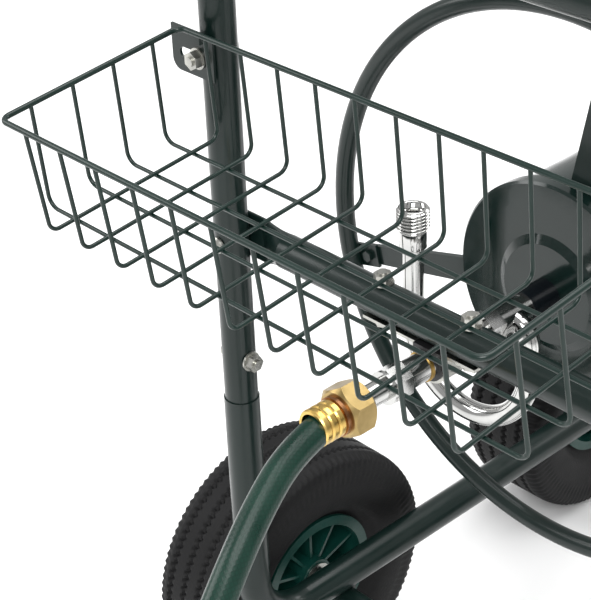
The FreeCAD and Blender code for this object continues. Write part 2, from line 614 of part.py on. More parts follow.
def crank_knob(end_y):
    start = CRANK_Y + CRANK_T / 2 + KNOB_GAP
    bore = KNOB_PIN_R + RUN_GAP
    head = end_y - 7 - KNOB_GAP - start
    profile = [(bore, 0), (KNOB_R - 4, 0), (KNOB_R - 1, 6), (KNOB_R - 1, 18), (KNOB_R, 40),
               (KNOB_R - 1, head - 4), (KNOB_R - 1, end_y - start - 3), (KNOB_R - 4, end_y - start),
               (KNOB_PIN_R + 3.5, end_y - start), (KNOB_PIN_R + 3.5, head), (bore, head)]
    pieces = turned(profile, V(0, 0, 0), Z_AXIS)
    knob = placed(pieces, V(CRANK_LENGTH, start, 0), Y_AXIS)
    return at_angle(knob, CRANK_DEG)


# ---------------------------------------------------------------- bearings and inlet
def saddle(radius, y, length):
    """Upright slab under the bar with a half-round underside about the reel axis."""
    start = V(0, y - length / 2, AXIS_Z)
    end_y, top = start.y + length, BAR_Z - BAR_R
    slab = box(V(-radius, start.y, AXIS_Z), V(radius, end_y, top))
    below = box(V(-radius, start.y, AXIS_Z - radius), V(radius, end_y, AXIS_Z))
    return slab.fuse(cylinder(radius, start, Y_AXIS, length).common(below)).removeSplitter()


def bearing_block(y, bore_r):
    """Plastic saddle round the shaft, from the bar's underside to below the shaft."""
    block = saddle(BLOCK_R, y, 2 * BLOCK_HALF_Y)
    return block.cut(cylinder(bore_r, V(0, y - 30, AXIS_Z), Y_AXIS, 60))


def bearing_strap(y):
    """Steel strap round a block, with two ears bolted under the crossbar."""
    top = BAR_Z - BAR_R
    left, right = STRAP_BOLTS_X[0] - EAR_OVERHANG, STRAP_BOLTS_X[1] + EAR_OVERHANG
    half = STRAP_W / 2
    strap = saddle(BLOCK_R + STRAP_T, y, STRAP_W)
    strap = strap.fuse(box(V(left, y - half, top - STRAP_T), V(right, y + half, top)))
    strap = strap.cut(saddle(BLOCK_R, y, 2 * STRAP_W)).removeSplitter()
    for x in STRAP_BOLTS_X:
        strap = drill(strap, V(x, y, top - 20), Z_AXIS, 40)
    return strap


def bearing_bolts():
    pieces = []
    for y in (FRONT_BAR_Y, REAR_BAR_Y):
        for x in STRAP_BOLTS_X:
            start = V(x, y, BAR_Z - BAR_R - STRAP_T)
            pieces += fastener(start, Z_AXIS, 2 * BAR_R + STRAP_T)
    return group(pieces)


def inlet_body():
    """Fixed water inlet: socket for the turning spigot, hexagon, flange and stub."""
    hex_y = INLET_FRONT_Y - INLET_HEX_L
    body = cylinder(INLET_R, AXIS(INLET_FRONT_Y), Y_AXIS, INLET_REAR_Y - INLET_FRONT_Y)
    body = body.fuse(hexagon(INLET_HEX_R, AXIS(hex_y), Y_AXIS, INLET_HEX_L))
    body = body.fuse(cylinder(INLET_FLANGE_R, AXIS(hex_y - INLET_FLANGE_T), Y_AXIS,
                              INLET_FLANGE_T))
    stub_y = hex_y - INLET_FLANGE_T - INLET_STUB_L
    body = body.fuse(cylinder(INLET_STUB_R, AXIS(stub_y), Y_AXIS, INLET_STUB_L)).removeSplitter()
    body = body.cut(cylinder(WATER_R, AXIS(stub_y - 1), Y_AXIS, 140))
    socket = cylinder(SPIGOT_R + RUN_GAP, AXIS(INLET_FRONT_Y + 8), Y_AXIS, 100)
    groove = ring(SEAL_RING_R + 1, INLET_R - 1, AXIS(SEAL_RING_Y), Y_AXIS, SEAL_RING_W)
    return body.cut(socket).cut(groove)


def inlet_ring():
    return ring(SEAL_RING_R, INLET_R - 1, AXIS(SEAL_RING_Y), Y_AXIS, SEAL_RING_W)


# ---------------------------------------------------------------- leader hose
def hose_nut():
    """Brass coupling nut over the inlet stub."""
    low = NUT_Y - HOSE_NUT_L / 2
    nut = hexagon(HOSE_NUT_R, AXIS(low), Y_AXIS, HOSE_NUT_L)
    cone = turned([(0, 0), (HOSE_NUT_R - 4, 0), (HOSE_NUT_R + 1, 5), (HOSE_NUT_R + 1, HOSE_NUT_L - 5),
                   (HOSE_NUT_R - 4, HOSE_NUT_L), (0, HOSE_NUT_L)], AXIS(low), Y_AXIS)
    return nut.common(cone).cut(cylinder(INLET_STUB_R, AXIS(low - 1), Y_AXIS, HOSE_NUT_L + 2))


COLLAR_END_Y = NUT_Y - HOSE_NUT_L / 2 - COLLAR_RING_L
FERRULE_END_Y = COLLAR_END_Y - FERRULE_L


def hose_collar():
    return ring(COLLAR_RING_R, WATER_R, AXIS(COLLAR_END_Y), Y_AXIS, COLLAR_RING_L)


def hose_ferrule():
    """Ribbed sleeve crimped round the hose's end."""
    step = FERRULE_L / 3
    profile = [(WATER_R, 0)]
    for k in range(3):
        profile += [(FERRULE_R - 0.8, k * step), (FERRULE_R, k * step + 1.5),
                    (FERRULE_R, (k + 1) * step - 1.5), (FERRULE_R - 0.8, (k + 1) * step)]
    profile.append((WATER_R, FERRULE_L))
    ferrule = turned(profile, AXIS(FERRULE_END_Y), Y_AXIS)
    return ferrule.cut(cylinder(HOSE_R, AXIS(FERRULE_END_Y), Y_AXIS, FERRULE_L - FERRULE_BASE))


def arc_radii(points):
    """Each corner's radius: 0.45 of the shorter run over the tangent of half the turn."""
    radii = []
    for index in range(1, len(points) - 1):
        before = points[index] - points[index - 1]
        after = points[index + 1] - points[index]
        half_turn = before.getAngle(after) / 2
        radii.append(0.45 * min(before.Length, after.Length) / math.tan(half_turn))
    return radii


def leader_hose():
    points = [V(*p) for p in HOSE_POINTS]
    radii = arc_radii(points)
    path = rounded_path(points, radii)
    tube = swept(path, HOSE_R)
    print("hose radii", [round(r) for r in radii], "length", round(path.Length),
          "volume ratio", round(tube.Volume / (math.pi * HOSE_R ** 2 * path.Length), 4))
    return tube


def coil_end():
    """Where the coil's tail leaves the ring, and the way it points."""
    angle = math.radians(COIL_TAIL_DEG)
    centre = V(COIL_CENTRE[0], COIL_CENTRE[1], HOSE_R + COIL_SLACK)
    out = V(math.cos(angle), math.sin(angle), 0)
    along = V(-math.sin(angle), math.cos(angle), 0)
    return centre + out * COIL_R, along


def hose_coil():
    """Outer shape of two stacked turns, with the straight tail on the floor."""
    centre = V(COIL_CENTRE[0], COIL_CENTRE[1], 0)
    half = HOSE_R + COIL_SLACK
    coil = ring(COIL_R + half, COIL_R - half, centre, Z_AXIS, 4 * HOSE_R)
    start, along = coil_end()
    return coil.fuse(cylinder(HOSE_R, start, along, COIL_TAIL_L)).removeSplitter()


def hose_end_piece():
    """Female coupling on the far end of the leader hose, lying on the floor."""
    start, along = coil_end()
    start = start + along * COIL_TAIL_L
    start.z = END_PIECE_R
    body = cylinder(END_PIECE_R, start, along, END_PIECE_L)
    mouth = start + along * (END_PIECE_L - END_BORE_L)
    return body.cut(cylinder(END_BORE_R, mouth, along, END_BORE_L + 1)).cut(
        cylinder(WATER_R, start, along, END_PIECE_L))


# ---------------------------------------------------------------- basket
def in_basket(shape):
    """Tilt a piece drawn from the middle of the front rim and hang it on the cart."""
    copy = shape.copy()
    copy.rotate(V(0, 0, 0), X_AXIS, TILT_DEG)
    copy.translate(V(0, RIM_FRONT_Y, RIM_FRONT_Z))
    return copy


def basket_rim():
    half, r = BASKET_L / 2, RIM_CORNER_R
    corners = [(-half, 0), (half, 0), (half, BASKET_W), (-half, BASKET_W)]
    edges = []
    for index, (x, y) in enumerate(corners):
        before, after = V(*corners[index - 1], 0), V(*corners[(index + 1) % 4], 0)
        corner = V(x, y, 0)
        first = corner + (before - corner).normalize() * r
        last = corner + (after - corner).normalize() * r
        centre = first + last - corner
        middle = centre + (corner - centre).normalize() * r
        edges.append(Part.Arc(first, middle, last).toShape())
        next_first = after + (corner - after).normalize() * r
        edges.append(Part.LineSegment(last, next_first).toShape())
    path = Part.Wire(edges)
    section = Part.Wire(Part.Circle(V(0, 0, 0), X_AXIS, RIM_WIRE_R).toShape())
    return in_basket(Part.Solid(path.makePipeShell([section], True, False)))


def cross_wire(x):
    """One wire across the basket: down from the front rim, under the floor and up behind."""
    points = [V(x, 0, 0), V(x, FRONT_INSET, -BASKET_D),
              V(x, BASKET_W - BACK_INSET, -BASKET_D), V(x, BASKET_W, 0)]
    return in_basket(swept(rounded_path(points, [FRONT_BEND_R, BACK_BEND_R]), WIRE_R))


def long_wire(y):
    """One wire along the basket, below the cross wires, up to both end rims."""
    half = BASKET_L / 2
    low = -BASKET_D - 2 * WIRE_R
    points = [V(-half, y, 0), V(-half - END_FLARE, y, low),
              V(half + END_FLARE, y, low), V(half, y, 0)]
    return in_basket(swept(rounded_path(points, [END_BEND_R] * 2), WIRE_R))


def welded_wires(wires):
    """Wires whose ends are shaped to sit against the rim wire."""
    return group([wire.cut(basket_rim()) for wire in wires])


def basket_brackets():
    """Slotted plates on the posts, with a flange and a lip under the basket's back rim."""
    tilt = math.radians(TILT_DEG)
    rim_y = RIM_FRONT_Y + BASKET_W * math.cos(tilt)
    rim_z = RIM_FRONT_Z + BASKET_W * math.sin(tilt)
    top = rim_z - BRACKET_BELOW_RIM
    face_y = FRONT_POST_Y - UPPER_R
    low = V(-POST_X - BRACKET_OUT, face_y - BRACKET_T, top - BRACKET_DROP)
    high = V(-POST_X + BRACKET_IN, face_y, top)
    plate = box(low, high)
    corners = [e for e in plate.Edges if abs(e.tangentAt(0).y) > 0.9
               and e.CenterOfMass.x < -POST_X and e.CenterOfMass.z < top - 5]
    plate = plate.makeFillet(9, corners)
    half = BRACKET_T / 2
    left = -POST_X - FLANGE_OUT
    flange = box(V(left, rim_y - half, top - BRACKET_T), V(high.x, face_y, top))
    lip = box(V(left, rim_y - half, top - half), V(high.x, rim_y + half, rim_z))
    rim = cylinder(RIM_WIRE_R, V(low.x, rim_y, rim_z), X_AXIS, BRACKET_OUT + 4 * BRACKET_IN)
    bracket = plate.fuse(flange).fuse(lip).cut(rim).removeSplitter()
    bracket = bracket.cut(slot(-POST_X - SLOT_OUT, BRACKET_BOLT_Z, face_y))
    return group([bracket, mirrored_x(bracket)])


def slot(x, z, y):
    half = (SLOT_L - SLOT_W) / 2
    cut = box(V(x - half, y - 10, z - SLOT_W / 2), V(x + half, y + 10, z + SLOT_W / 2))
    for end in SIDES:
        cut = cut.fuse(cylinder(SLOT_W / 2, V(x + end * half, y - 10, z), Y_AXIS, 20))
    return cut


def basket_bolts():
    """A bolt through each post from behind, with its nut over the bracket's slot."""
    start = V(-POST_X - BRACKET_BOLT_OUT, FRONT_POST_Y + UPPER_R, BRACKET_BOLT_Z)
    left = group(fastener(start, Y_AXIS * -1, 2 * UPPER_R + BRACKET_T))
    return group([left, mirrored_x(left)])


# ---------------------------------------------------------------- build
def build():
    cross_start = -(CROSS_COUNT - 1) / 2 * CROSS_PITCH
    long_start = BASKET_W / 2 - (LONG_COUNT - 1) / 2 * LONG_PITCH
    cross = welded_wires([cross_wire(cross_start + k * CROSS_PITCH) for k in range(CROSS_COUNT)])
    knob_end = -cross.optimalBoundingBox().YMin     # the cart's box is centred on the origin
    nodes = {
        "side_tube_left": side_tube(-1), "side_tube_right": side_tube(1),
        "handle_tube": handle_tube(), "handle_grip": handle_grip(),
        "handle_bolts": handle_bolts(), "post_caps": post_caps(),
        "lower_crossbar": crossbar(FRONT_BAR_Y, BAR_Z, STRAP_BOLTS_X),
        "upper_crossbar": crossbar(FRONT_BAR_Y, UPPER_BAR_Z),
        "rear_crossbar": crossbar(REAR_BAR_Y, BAR_Z, STRAP_BOLTS_X),
        "crossbar_bolts": crossbar_bolts(),
        "front_axle_tube": axle_tube(FRONT_AXLE_Y), "rear_axle_tube": axle_tube(REAR_AXLE_Y),
        "front_axle_rod": axle_rod(FRONT_AXLE_Y), "rear_axle_rod": axle_rod(REAR_AXLE_Y),
        "axle_hardware": axle_hardware(),
        "basket_rim": basket_rim(), "basket_cross_wires": cross,
        "basket_long_wires": welded_wires([long_wire(long_start + k * LONG_PITCH)
                                    for k in range(LONG_COUNT)]),
        "basket_brackets": basket_brackets(), "basket_bolts": basket_bolts(),
        "front_bearing_block": bearing_block(FRONT_BAR_Y, INLET_R),
        "rear_bearing_block": bearing_block(REAR_BAR_Y, JOURNAL_R + RUN_GAP),
        "front_bearing_strap": bearing_strap(FRONT_BAR_Y),
        "rear_bearing_strap": bearing_strap(REAR_BAR_Y),
        "bearing_bolts": bearing_bolts(),
        "inlet_body": inlet_body(), "inlet_ring": inlet_ring(),
        "hose_nut": hose_nut(), "hose_collar": hose_collar(), "hose_ferrule": hose_ferrule(),
        "leader_hose": leader_hose(), "hose_coil": hose_coil(),
        "hose_end_piece": hose_end_piece(),
        "reel_shaft": reel_shaft(), "shaft_elbow": shaft_elbow(),
        "outlet_pipe": outlet_pipe().cut(cylinder(ELBOW_R, AXIS(PIPE_Y - 30), Y_AXIS, 60)),
        "outlet_nipple": outlet_nipple(), "drum_shell": drilled_shell(),
        "drum_disc_front": drum_disc(), "drum_disc_rear": mirrored_reel(drum_disc()),
        "hoop_front": hoop(), "hoop_rear": mirrored_reel(hoop()),
        "spokes_front": spokes(), "spokes_rear": mirrored_reel(spokes()),
        "spoke_bolts": spoke_bolts(), "crank_arm": crank_arm(),
        "knob_pin": knob_pin(knob_end), "crank_knob": crank_knob(knob_end),
    }
    for place, y in (("front", FRONT_AXLE_Y), ("rear", REAR_AXLE_Y)):
        for name, side in (("left", -1), ("right", 1)):
            nodes["tyre_%s_%s" % (place, name)] = tyre(side, y)
            nodes["rim_%s_%s" % (place, name)] = wheel_rim(side, y)
            nodes["bushes_%s_%s" % (place, name)] = wheel_bushes(side, y)
    return nodes


def main():
    os.makedirs("parts", exist_ok=True)
    for name, shape in build().items():
        shape.exportStep("parts/%s.step" % name)
        print(name, len(shape.Solids), shape.isValid(), round(shape.Volume))


main()
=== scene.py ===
import json
import math
import bmesh
import bpy
import numpy as np
from mathutils import Matrix, Vector


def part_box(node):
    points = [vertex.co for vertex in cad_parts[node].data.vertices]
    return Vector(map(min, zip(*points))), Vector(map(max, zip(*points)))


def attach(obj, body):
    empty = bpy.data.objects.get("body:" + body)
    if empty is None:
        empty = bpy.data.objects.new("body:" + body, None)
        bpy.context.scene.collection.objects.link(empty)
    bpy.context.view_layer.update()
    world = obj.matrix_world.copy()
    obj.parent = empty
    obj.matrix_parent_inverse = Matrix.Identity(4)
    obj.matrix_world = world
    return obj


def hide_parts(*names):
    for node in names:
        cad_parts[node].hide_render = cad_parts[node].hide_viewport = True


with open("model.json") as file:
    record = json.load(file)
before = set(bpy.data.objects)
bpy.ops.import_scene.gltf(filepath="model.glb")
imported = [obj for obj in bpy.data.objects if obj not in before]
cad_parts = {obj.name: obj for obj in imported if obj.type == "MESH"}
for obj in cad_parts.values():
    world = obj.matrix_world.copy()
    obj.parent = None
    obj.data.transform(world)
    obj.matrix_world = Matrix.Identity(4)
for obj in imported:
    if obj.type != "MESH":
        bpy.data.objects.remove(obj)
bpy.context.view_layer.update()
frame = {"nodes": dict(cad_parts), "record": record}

# ------------------------------------------------------------------ camera
EYE = Vector((0.7383, -1.0678, 1.2408))
AZIMUTH, ELEVATION, ROLL = (math.radians(v) for v in (48.1523, 30.9523, -2.5113))
LENS_MM, SENSOR_MM = 107.96, 36.0


def make_camera():
    """Camera that looks down at the front of the cart from its right."""
    back = Vector((math.sin(AZIMUTH) * math.cos(ELEVATION),
                   -math.cos(AZIMUTH) * math.cos(ELEVATION), math.sin(ELEVATION)))
    level = (-back).cross(Vector((0, 0, 1))).normalized()
    upright = level.cross(-back)
    right = level * math.cos(ROLL) + upright * math.sin(ROLL)
    up = upright * math.cos(ROLL) - level * math.sin(ROLL)
    data = bpy.data.cameras.new("camera")
    data.sensor_fit, data.sensor_width, data.lens = "HORIZONTAL", SENSOR_MM, LENS_MM
    data.clip_end = 50
    camera = bpy.data.objects.new("camera", data)
    bpy.context.collection.objects.link(camera)
    turn = Matrix((right, up, back)).transposed().to_4x4()
    camera.matrix_world = Matrix.Translation(EYE) @ turn
    bpy.context.scene.camera = camera


make_camera()


# ------------------------------------------------------------------ finishes
class Socket:
    """An output socket of a finish; arithmetic on it adds Math nodes."""

    def __init__(self, finish, out):
        self.finish, self.out = finish, out

    def math(self, operation, *values):
        """A Math node on the given values, in the same finish as this socket."""
        return self.finish.node("ShaderNodeMath", {"operation": operation},
                                dict(enumerate(values)))

    def __add__(self, other):
        return self.math("ADD", self, other)

    def __sub__(self, other):
        return self.math("SUBTRACT", self, other)

    def __mul__(self, other):
        return self.math("MULTIPLY", self, other)

    def __rsub__(self, other):
        return self.math("SUBTRACT", other, self)

    __radd__, __rmul__ = __add__, __mul__


class Finish:
    """A procedural material with one Principled shader."""

    def __init__(self, name, **constants):
        self.material = bpy.data.materials.new(name)
        self.material.use_nodes = True
        self.nodes, self.links = self.material.node_tree.nodes, self.material.node_tree.links
        self.shader = next(n for n in self.nodes if n.type == "BSDF_PRINCIPLED")
        for socket, value in constants.items():
            self.shader.inputs[socket.replace("_", " ")].default_value = value

    def node(self, kind, settings=None, values=None, output=0):
        """A node of one kind with its settings, then the values or links of its sockets."""
        made = self.nodes.new(kind)
        for key, value in (settings or {}).items():
            setattr(made, key, value)
        for key, value in (values or {}).items():
            if isinstance(value, Socket):
                self.links.new(value.out, made.inputs[key])
            else:
                made.inputs[key].default_value = value
        return Socket(self, made.outputs[output])

    def place(self):
        return self.node("ShaderNodeTexCoord", output="Object")

    def stretched(self, scale):
        """Object coordinates multiplied along each axis."""
        return self.node("ShaderNodeMapping", {}, {"Vector": self.place(), "Scale": scale})

    def noise(self, scale, detail=3.0, vector=None, roughness=0.5):
        return self.node("ShaderNodeTexNoise", {}, {
            "Vector": vector or self.place(), "Scale": scale, "Detail": detail,
            "Roughness": roughness})

    def between(self, factor, first, second):
        """Colour mix from first to second by a 0 to 1 factor."""
        return self.node("ShaderNodeMix", {"data_type": "RGBA"},
                         {0: factor, 6: first, 7: second}, output=2)

    def steps(self, value, low, high):
        """Value rescaled from low..high to 0..1 and clamped."""
        return self.node("ShaderNodeMapRange", {"clamp": True},
                         {"Value": value, "From Min": low, "From Max": high})

    def bump(self, height, strength, distance):
        return self.node("ShaderNodeBump", {}, {
            "Height": height, "Strength": strength, "Distance": distance})

    def feed(self, **sockets):
        """Link values to the shader's sockets and give the finished material."""
        for socket, value in sockets.items():
            self.links.new(value.out, self.shader.inputs[socket.replace("_", " ")])
        return self.material


def rgb(red, green, blue):
    """Display values 0 to 255 as a linear colour."""
    linear = [((v / 255 + 0.055) / 1.055) ** 2.4 if v > 10 else v / 255 / 12.92
              for v in (red, green, blue)]
    return (*linear, 1.0)


def enamel(name, dark, light, rough, coat=0.15):
    """Baked gloss paint: slow tone drift, dust film and a very fine orange peel."""
    f = Finish(name, Coat_Roughness=0.08, IOR=1.42, Coat_Weight=coat,
               Specular_IOR_Level=0.4)
    drift = f.noise(9, 4)
    peel = f.noise(900, 2)
    film = f.steps(f.noise(38, 5), 0.42, 0.75)
    return f.feed(Base_Color=f.between(f.steps(drift, 0.3, 0.7), dark, light),
                  Roughness=film * 0.12 + rough, Normal=f.bump(peel, 0.12, 0.0002))


def moulded(name, dark, light, rough, grain, depth):
    """Moulded plastic: fine grain and slightly uneven sheen."""
    f = Finish(name, IOR=1.46)
    drift, fine = f.noise(24, 3), f.noise(grain, 3)
    return f.feed(Base_Color=f.between(f.steps(drift, 0.3, 0.7), dark, light),
                  Roughness=f.steps(f.noise(60, 4), 0.3, 0.8) * 0.15 + rough,
                  Normal=f.bump(fine, 0.35, depth))


def bright_metal(name, dark, light, rough, spread, scale, depth=0.06):
    """Plated or brushed metal: clouded tone, fine scratches and smears in the gloss."""
    f = Finish(name, Metallic=1.0)
    cloud = f.noise(scale, 4)
    scratch = f.noise(700, 2, f.stretched((1.0, 0.08, 1.0)))
    smear = f.steps(f.noise(55, 5), 0.35, 0.8)
    return f.feed(Base_Color=f.between(f.steps(cloud, 0.3, 0.75), dark, light),
                  Roughness=smear * spread + rough, Normal=f.bump(scratch, depth, 0.0002))


def rubber():
    """Tyre rubber: dusty grey over black in random patches that also dull the gloss, fine pores."""
    f = Finish("tyre_rubber", IOR=1.5, Specular_IOR_Level=0.25)
    dust = f.steps(f.noise(14, 6, None, 0.65), 0.35, 0.75)
    pores = f.noise(420, 4)
    return f.feed(Base_Color=f.between(dust, rgb(8, 8, 9), rgb(22, 22, 23)),
                  Roughness=dust * 0.2 + 0.55, Normal=f.bump(pores, 0.5, 0.0006))


YARNS_ROUND, YARNS_PER_METRE = 16.0, 240.0


def hose_skin():
    """Clear-coated green hose: two families of thin yarns cross under the skin.
    The piece's own UV map runs round the tube in turns and along it in metres."""
    f = Finish("hose_skin", IOR=1.46, Coat_Weight=0.1, Coat_Roughness=0.1,
               Specular_IOR_Level=0.35)
    uv = f.node("ShaderNodeUVMap", {"uv_map": "tube"})
    round_it = f.node("ShaderNodeSeparateXYZ", {}, {0: uv}, output=0)
    along = f.node("ShaderNodeSeparateXYZ", {}, {0: uv}, output=1)
    yarns = []
    for sense in (YARNS_ROUND, -YARNS_ROUND):
        phase = round_it * sense + along * YARNS_PER_METRE
        wave = phase.math("FRACT", phase) - 0.5
        yarns.append(1.0 - f.steps(wave.math("ABSOLUTE", wave), 0.1, 0.24))
    net = yarns[0].math("MAXIMUM", yarns[0], yarns[1])
    tone = f.steps(f.noise(30, 3), 0.3, 0.7)
    deep = f.between(tone, rgb(10, 42, 33), rgb(15, 52, 41))
    return f.feed(Base_Color=f.between(net * 0.3, deep, rgb(4, 26, 19)),
                  Roughness=tone * 0.1 + 0.26, Normal=f.bump(net, 0.2, 0.0003))


PAINT = enamel("green_enamel", rgb(10, 25, 22), rgb(14, 31, 28), 0.28)
DISC_PAINT = enamel("drum_enamel", rgb(9, 25, 22), rgb(13, 31, 28), 0.14, 0.3)
WIRE_PAINT = enamel("wire_enamel", rgb(14, 32, 28), rgb(19, 40, 35), 0.3)
SHAFT_PAINT = enamel("shaft_enamel", rgb(8, 11, 15), rgb(13, 17, 21), 0.12, 0.5)
RIM_PLASTIC = moulded("rim_plastic", rgb(8, 54, 47), rgb(13, 65, 57), 0.34, 300, 0.0005)
BLACK_PLASTIC = moulded("black_plastic", rgb(16, 16, 17), rgb(27, 27, 28), 0.42, 350, 0.0006)
BUSH_PLASTIC = moulded("bush_plastic", rgb(112, 112, 108), rgb(136, 135, 131), 0.45, 300, 0.0004)
CHROME = bright_metal("chrome", rgb(176, 176, 175), rgb(208, 208, 205), 0.07, 0.08, 30, 0.015)
ZINC = bright_metal("zinc_plate", rgb(158, 158, 154), rgb(196, 195, 188), 0.26, 0.2, 90)
BRASS = bright_metal("brass", rgb(152, 130, 84), rgb(180, 156, 106), 0.26, 0.2, 80)
GOLD_BRASS = bright_metal("yellow_brass", rgb(206, 170, 92), rgb(230, 198, 122), 0.2, 0.2, 80)
RING_BRASS = bright_metal("dull_brass", rgb(150, 122, 66), rgb(180, 150, 88), 0.3, 0.2, 80)
COPPER = bright_metal("copper_alloy", rgb(134, 94, 64), rgb(162, 120, 86), 0.26, 0.2, 80)
RUBBER = rubber()
HOSE_SKIN = hose_skin()

FINISHES = {
    "frame_paint": PAINT, "basket_paint": WIRE_PAINT, "grip_plastic": BLACK_PLASTIC,
    "zinc": ZINC, "chrome": CHROME, "brass": BRASS, "hose": HOSE_SKIN, "tyre": RUBBER,
    "rim_plastic": RIM_PLASTIC, "bush_plastic": BUSH_PLASTIC,
}
SPECIAL = {
    "drum_disc_front": DISC_PAINT, "drum_disc_rear": DISC_PAINT, "drum_shell": DISC_PAINT,
    "hose_collar": COPPER, "hose_ferrule": GOLD_BRASS, "inlet_ring": RING_BRASS,
    "reel_shaft": SHAFT_PAINT,
}


def finish_cad_nodes():
    """Give every CAD node its finish by the record's material slot."""
    slots = {part["node"]: part["material_slot"] for part in frame["record"]["subparts"]}
    for name, piece in frame["nodes"].items():
        finish = SPECIAL.get(name) or FINISHES[slots[name]]
        piece.data.materials.clear()
        piece.data.materials.append(finish)


finish_cad_nodes()


# ------------------------------------------------------------------ surfaces
def add_piece(name, mesh, body, slot, finish, *nodes):
    piece = bpy.data.objects.new(name, mesh)
    bpy.context.collection.objects.link(piece)
    if finish:
        mesh.materials.append(finish)
    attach(piece, body)
    if nodes:
        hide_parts(*nodes)
    return piece


def grid_mesh(name, points, wrap_rows=False, wrap_columns=False):
    """Quad mesh over an array of points (rows, columns, 3), closed where it wraps."""
    rows, columns, _ = points.shape
    row = np.arange(rows if wrap_rows else rows - 1)
    column = np.arange(columns if wrap_columns else columns - 1)
    a, b = np.meshgrid(row, column, indexing="ij")
    next_a, next_b = (a + 1) % rows, (b + 1) % columns
    faces = np.stack([a * columns + b, a * columns + next_b,
                      next_a * columns + next_b, next_a * columns + b], -1).reshape(-1, 4)
    mesh = bpy.data.meshes.new(name)
    mesh.from_pydata(points.reshape(-1, 3).tolist(), [], faces.tolist())
    mesh.polygons.foreach_set("use_smooth", np.ones(len(mesh.polygons), bool))
    mesh.update()
    return mesh


# ------------------------------------------------------------------ leader hose
HOSE_ROUTE = (
    (0, -.379, .538), (.0035, -.418, .5345), (.0226, -.470, .520), (.0491, -.5257, .4985),
    (.0691, -.5824, .4533), (.0868, -.6216, .3879), (.1023, -.6426, .3107), (.115, -.655, .232),
    (.128, -.672, .160), (.152, -.704, .098), (.189, -.751, .058), (.232, -.806, .042),
    (.274, -.862, .034),
)
HOSE_DIAMETER = 0.0225
COIL_CENTRE, COIL_RADIUS, COIL_TURNS, COIL_POINTS = (0.374, -0.787), 0.125, 2, 16
COIL_START, TAIL_ANGLE, TAIL_LENGTH = math.atan2(-0.6, -0.8), math.radians(165), 0.09


def coil_route():
    """Control points of two stacked turns and the tail that leaves them on the floor.
    A turn of control points lies outside its curve by 1 / cos(half a step)."""
    swept = 2 * math.pi * (COIL_TURNS - 1) + (TAIL_ANGLE - COIL_START) % (2 * math.pi)
    steps = round(COIL_POINTS * swept / (2 * math.pi))
    share = np.arange(1, steps) / steps
    angle = COIL_START + swept * share
    radius = COIL_RADIUS / math.cos(swept / steps / 2)
    height = HOSE_ROUTE[-1][2] + (HOSE_DIAMETER / 2 - HOSE_ROUTE[-1][2]) * np.minimum(
        share * 1.15, 1)
    turns = np.stack([COIL_CENTRE[0] + radius * np.cos(angle),
                      COIL_CENTRE[1] + radius * np.sin(angle), height], -1)
    out = np.array([math.cos(TAIL_ANGLE), math.sin(TAIL_ANGLE), 0])
    along = np.array([-out[1], out[0], 0])
    leave = np.array([*COIL_CENTRE, HOSE_DIAMETER / 2 + 0.0005]) + out * COIL_RADIUS
    tail = [leave, leave + along * TAIL_LENGTH / 2, leave + along * TAIL_LENGTH]
    return [*turns.tolist(), *[p.tolist() for p in tail]]


def route_line(points):
    """Points along the smooth spline whose control points are the route's."""
    curve = bpy.data.curves.new("route", "CURVE")
    curve.dimensions, curve.resolution_u = "3D", 14
    spline = curve.splines.new("NURBS")
    spline.points.add(len(points) - 1)
    spline.points.foreach_set("co", [c for p in points for c in (*p, 1.0)])
    spline.order_u, spline.use_endpoint_u = 3, True
    carrier = bpy.data.objects.new("route", curve)
    bpy.context.collection.objects.link(carrier)
    bpy.context.view_layer.update()
    mesh = bpy.data.meshes.new_from_object(carrier)
    line = np.empty(len(mesh.vertices) * 3)
    mesh.vertices.foreach_get("co", line)
    bpy.data.objects.remove(carrier)
    bpy.data.meshes.remove(mesh)
    line = line.reshape(-1, 3)
    return line[np.concatenate([[True], np.linalg.norm(np.diff(line, axis=0), axis=1) > 1e-5])]


def tube_mesh(name, line, radius, sides=32):
    """Round tube along a line: each ring stands square to the line, and its first
    direction is the last ring's, less its part along the line."""
    along = np.gradient(line, axis=0)
    along /= np.linalg.norm(along, axis=1, keepdims=True)
    first = [np.cross(along[0], (0.0, 0.0, 1.0))]
    for direction in along[1:]:
        first.append(first[-1] - direction * (first[-1] @ direction))
    first = np.array(first)
    first /= np.linalg.norm(first, axis=1, keepdims=True)
    second = np.cross(along, first)
    turn = np.linspace(0, 2 * np.pi, sides + 1)[None, :, None]
    rings = line[:, None] + radius * (first[:, None] * np.cos(turn) + second[:, None] * np.sin(turn))
    rows = len(line)
    mesh = grid_mesh(name, rings[:, :-1], wrap_columns=True)
    length = np.concatenate([[0], np.cumsum(np.linalg.norm(np.diff(line, axis=0), axis=1))])
    row, column = np.meshgrid(np.arange(rows - 1), np.arange(sides), indexing="ij")
    corner_row = np.stack([row, row, row + 1, row + 1], -1).ravel()
    corner_column = np.stack([column, column + 1, column + 1, column], -1).ravel()
    layer = mesh.uv_layers.new(name="tube")
    layer.data.foreach_set("uv", np.stack([corner_column / sides, length[corner_row]], -1).ravel())
    return mesh, length[-1]


def make_hose():
    line = route_line([*HOSE_ROUTE, *coil_route()])
    mesh, length = tube_mesh("leader_hose_skin", line, HOSE_DIAMETER / 2)
    close_ends(mesh)
    hose = add_piece("leader_hose_skin", mesh, "cart", "hose", HOSE_SKIN, "leader_hose", "hose_coil")


def close_ends(mesh):
    """Flat caps over the open ends."""
    shape = bmesh.new()
    shape.from_mesh(mesh)
    bmesh.ops.holes_fill(shape, edges=[e for e in shape.edges if e.is_boundary], sides=0)
    bmesh.ops.recalc_face_normals(shape, faces=shape.faces)
    shape.to_mesh(mesh)
    shape.free()


make_hose()


